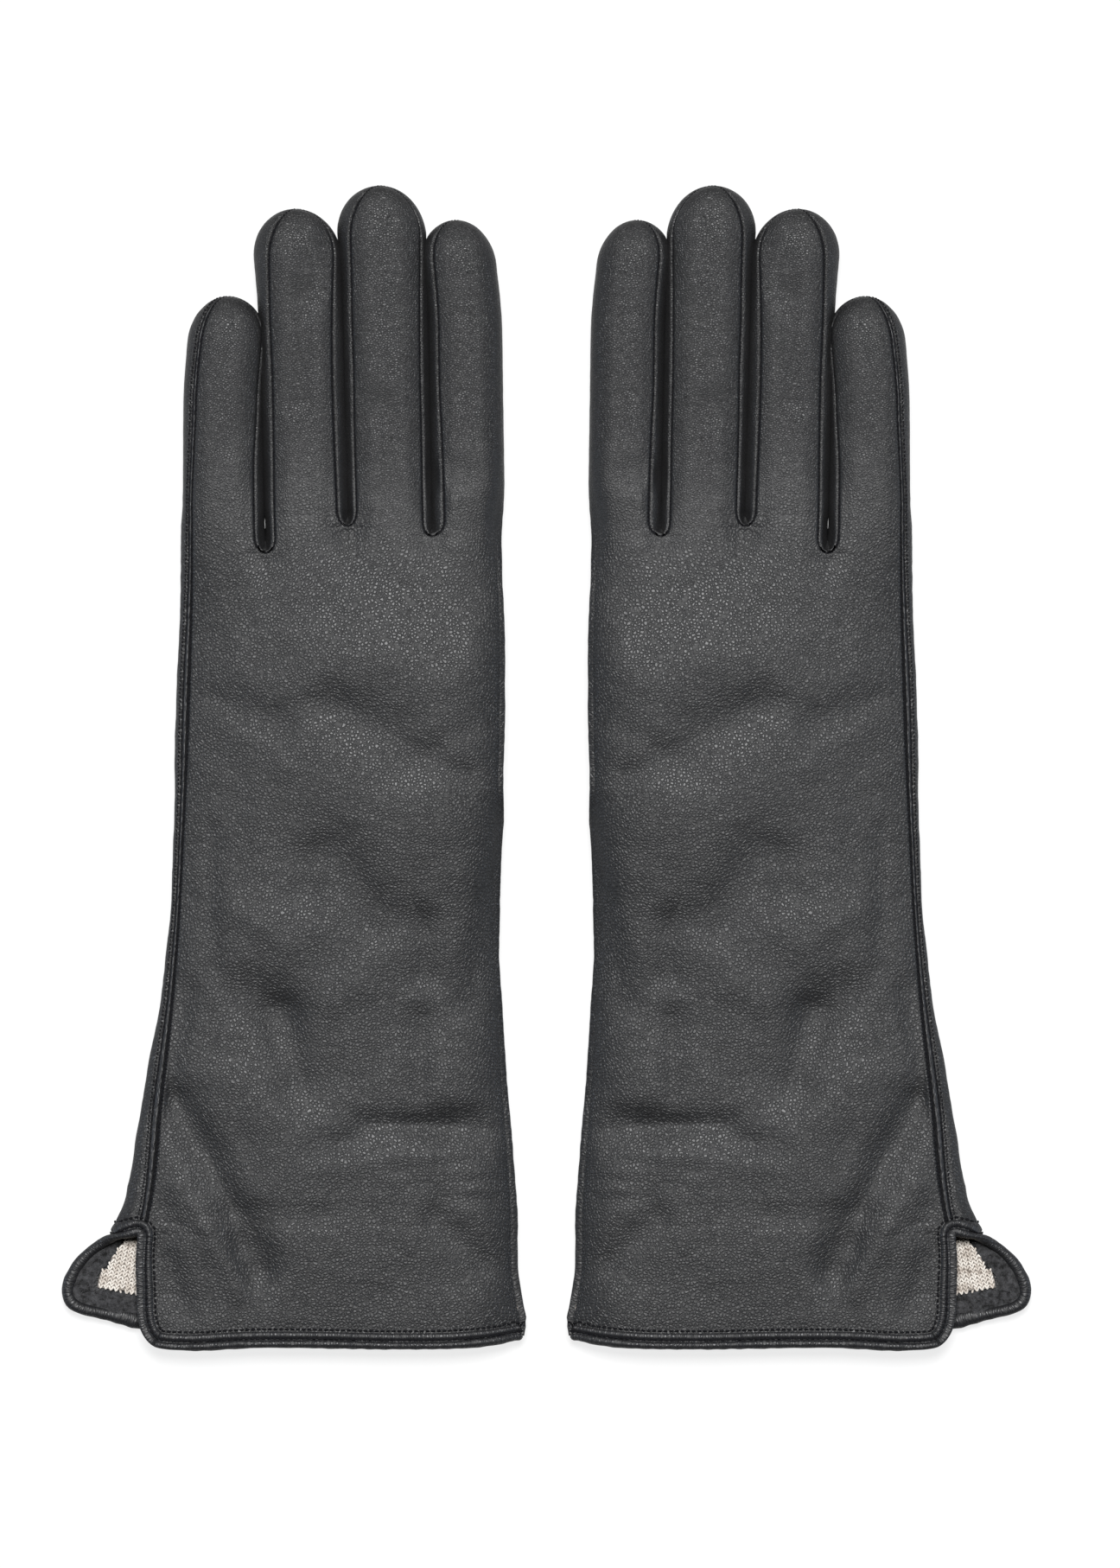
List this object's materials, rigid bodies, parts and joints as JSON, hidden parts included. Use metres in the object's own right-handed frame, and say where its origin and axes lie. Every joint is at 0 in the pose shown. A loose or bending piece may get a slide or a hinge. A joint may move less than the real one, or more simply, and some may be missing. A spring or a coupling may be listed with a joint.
{
  "type": "leather gloves",
  "caption": "Pair of long gauntlet-length black leather dress gloves with gusseted fingers, a bound side vent at each cuff and a knitted lining, laid flat.",
  "frame": {"origin": "on the surface the pair lies on, midway between the two gloves and halfway along them", "axes": "+Y from the hems to the fingertips, +Z out of the backs of the hands, +X from the left-hand glove of the pair to the right-hand one"},
  "size_m": [0.2548, 0.309, 0.0165],
  "materials": {
    "leather": "black grained nappa, satin",
    "trim": "smooth black leather strip and binding",
    "knit": "beige plain-knit lining",
    "facing": "black suede facing"
  },
  "bodies": {
    "left_hand": {"left_hand_leather": "leather", "left_hand_lining": "knit", "left_hand_welt": "trim"},
    "left_gauntlet": {"left_gauntlet_leather": "leather", "left_gauntlet_lining": "knit", "left_gauntlet_welt": "trim", "left_cuff_facing": "facing", "left_cuff_binding": "trim"},
    "left_thumb": {"left_thumb_leather": "leather", "left_thumb_lining": "knit"},
    "left_index_base": {"left_index_base_leather": "leather", "left_index_base_gussets": "trim", "left_index_base_lining": "knit"},
    "left_index_tip": {"left_index_tip_leather": "leather", "left_index_tip_lining": "knit"},
    "left_middle_base": {"left_middle_base_leather": "leather", "left_middle_base_gussets": "trim", "left_middle_base_lining": "knit"},
    "left_middle_tip": {"left_middle_tip_leather": "leather", "left_middle_tip_lining": "knit"},
    "left_ring_base": {"left_ring_base_leather": "leather", "left_ring_base_gussets": "trim", "left_ring_base_lining": "knit"},
    "left_ring_tip": {"left_ring_tip_leather": "leather", "left_ring_tip_lining": "knit"},
    "left_little_base": {"left_little_base_leather": "leather", "left_little_base_gussets": "trim", "left_little_base_lining": "knit"},
    "left_little_tip": {"left_little_tip_leather": "leather", "left_little_tip_lining": "knit"},
    "right_hand": {"right_hand_leather": "leather", "right_hand_lining": "knit", "right_hand_welt": "trim"},
    "right_gauntlet": {"right_gauntlet_leather": "leather", "right_gauntlet_lining": "knit", "right_gauntlet_welt": "trim", "right_cuff_facing": "facing", "right_cuff_binding": "trim"},
    "right_thumb": {"right_thumb_leather": "leather", "right_thumb_lining": "knit"},
    "right_index_base": {"right_index_base_leather": "leather", "right_index_base_gussets": "trim", "right_index_base_lining": "knit"},
    "right_index_tip": {"right_index_tip_leather": "leather", "right_index_tip_lining": "knit"},
    "right_middle_base": {"right_middle_base_leather": "leather", "right_middle_base_gussets": "trim", "right_middle_base_lining": "knit"},
    "right_middle_tip": {"right_middle_tip_leather": "leather", "right_middle_tip_lining": "knit"},
    "right_ring_base": {"right_ring_base_leather": "leather", "right_ring_base_gussets": "trim", "right_ring_base_lining": "knit"},
    "right_ring_tip": {"right_ring_tip_leather": "leather", "right_ring_tip_lining": "knit"},
    "right_little_base": {"right_little_base_leather": "leather", "right_little_base_gussets": "trim", "right_little_base_lining": "knit"},
    "right_little_tip": {"right_little_tip_leather": "leather", "right_little_tip_lining": "knit"}
  },
  "joints": [
    {"name": "left_wrist", "type": "hinge", "parent": "left_hand", "child": "left_gauntlet", "pos_m": [0, -0.03, 0.006], "axis": [1, 0, 0], "range_deg": [-50, 50]},
    {"name": "left_thumb_root", "type": "hinge", "parent": "left_hand", "child": "left_thumb", "pos_m": [-0.032, -0.011, 0], "axis": [-1, 0, 0], "range_deg": [0, 90]},
    {"name": "left_index_knuckle", "type": "hinge", "parent": "left_hand", "child": "left_index_base", "pos_m": [-0.021, 0.071, 0], "axis": [-1, 0, 0], "range_deg": [0, 90]},
    {"name": "left_index_middle", "type": "hinge", "parent": "left_index_base", "child": "left_index_tip", "pos_m": [-0.021, 0.107, 0], "axis": [-1, 0, 0], "range_deg": [0, 90]},
    {"name": "left_middle_knuckle", "type": "hinge", "parent": "left_hand", "child": "left_middle_base", "pos_m": [-0.0419, 0.071, 0], "axis": [-1, 0, 0], "range_deg": [0, 90]},
    {"name": "left_middle_middle", "type": "hinge", "parent": "left_middle_base", "child": "left_middle_tip", "pos_m": [-0.0419, 0.113, 0], "axis": [-1, 0, 0], "range_deg": [0, 90]},
    {"name": "left_ring_knuckle", "type": "hinge", "parent": "left_hand", "child": "left_ring_base", "pos_m": [-0.0639, 0.071, 0], "axis": [-1, 0, 0], "range_deg": [0, 90]},
    {"name": "left_ring_middle", "type": "hinge", "parent": "left_ring_base", "child": "left_ring_tip", "pos_m": [-0.0639, 0.11, 0], "axis": [-1, 0, 0], "range_deg": [0, 90]},
    {"name": "left_little_knuckle", "type": "hinge", "parent": "left_hand", "child": "left_little_base", "pos_m": [-0.086, 0.071, 0], "axis": [-1, 0, 0], "range_deg": [0, 90]},
    {"name": "left_little_middle", "type": "hinge", "parent": "left_little_base", "child": "left_little_tip", "pos_m": [-0.086, 0.097, 0], "axis": [-1, 0, 0], "range_deg": [0, 90]},
    {"name": "right_glove_apart", "type": "slide", "parent": "left_hand", "child": "right_hand", "axis": [1, 0, 0], "range_m": [0, 0.15]},
    {"name": "right_wrist", "type": "hinge", "parent": "right_hand", "child": "right_gauntlet", "pos_m": [0, -0.03, 0.006], "axis": [1, 0, 0], "range_deg": [-50, 50]},
    {"name": "right_thumb_root", "type": "hinge", "parent": "right_hand", "child": "right_thumb", "pos_m": [0.032, -0.011, 0], "axis": [-1, 0, 0], "range_deg": [0, 90]},
    {"name": "right_index_knuckle", "type": "hinge", "parent": "right_hand", "child": "right_index_base", "pos_m": [0.021, 0.071, 0], "axis": [-1, 0, 0], "range_deg": [0, 90]},
    {"name": "right_index_middle", "type": "hinge", "parent": "right_index_base", "child": "right_index_tip", "pos_m": [0.021, 0.107, 0], "axis": [-1, 0, 0], "range_deg": [0, 90]},
    {"name": "right_middle_knuckle", "type": "hinge", "parent": "right_hand", "child": "right_middle_base", "pos_m": [0.0419, 0.071, 0], "axis": [-1, 0, 0], "range_deg": [0, 90]},
    {"name": "right_middle_middle", "type": "hinge", "parent": "right_middle_base", "child": "right_middle_tip", "pos_m": [0.0419, 0.113, 0], "axis": [-1, 0, 0], "range_deg": [0, 90]},
    {"name": "right_ring_knuckle", "type": "hinge", "parent": "right_hand", "child": "right_ring_base", "pos_m": [0.0639, 0.071, 0], "axis": [-1, 0, 0], "range_deg": [0, 90]},
    {"name": "right_ring_middle", "type": "hinge", "parent": "right_ring_base", "child": "right_ring_tip", "pos_m": [0.0639, 0.11, 0], "axis": [-1, 0, 0], "range_deg": [0, 90]},
    {"name": "right_little_knuckle", "type": "hinge", "parent": "right_hand", "child": "right_little_base", "pos_m": [0.086, 0.071, 0], "axis": [-1, 0, 0], "range_deg": [0, 90]},
    {"name": "right_little_middle", "type": "hinge", "parent": "right_little_base", "child": "right_little_tip", "pos_m": [0.086, 0.097, 0], "axis": [-1, 0, 0], "range_deg": [0, 90]}
  ]
}
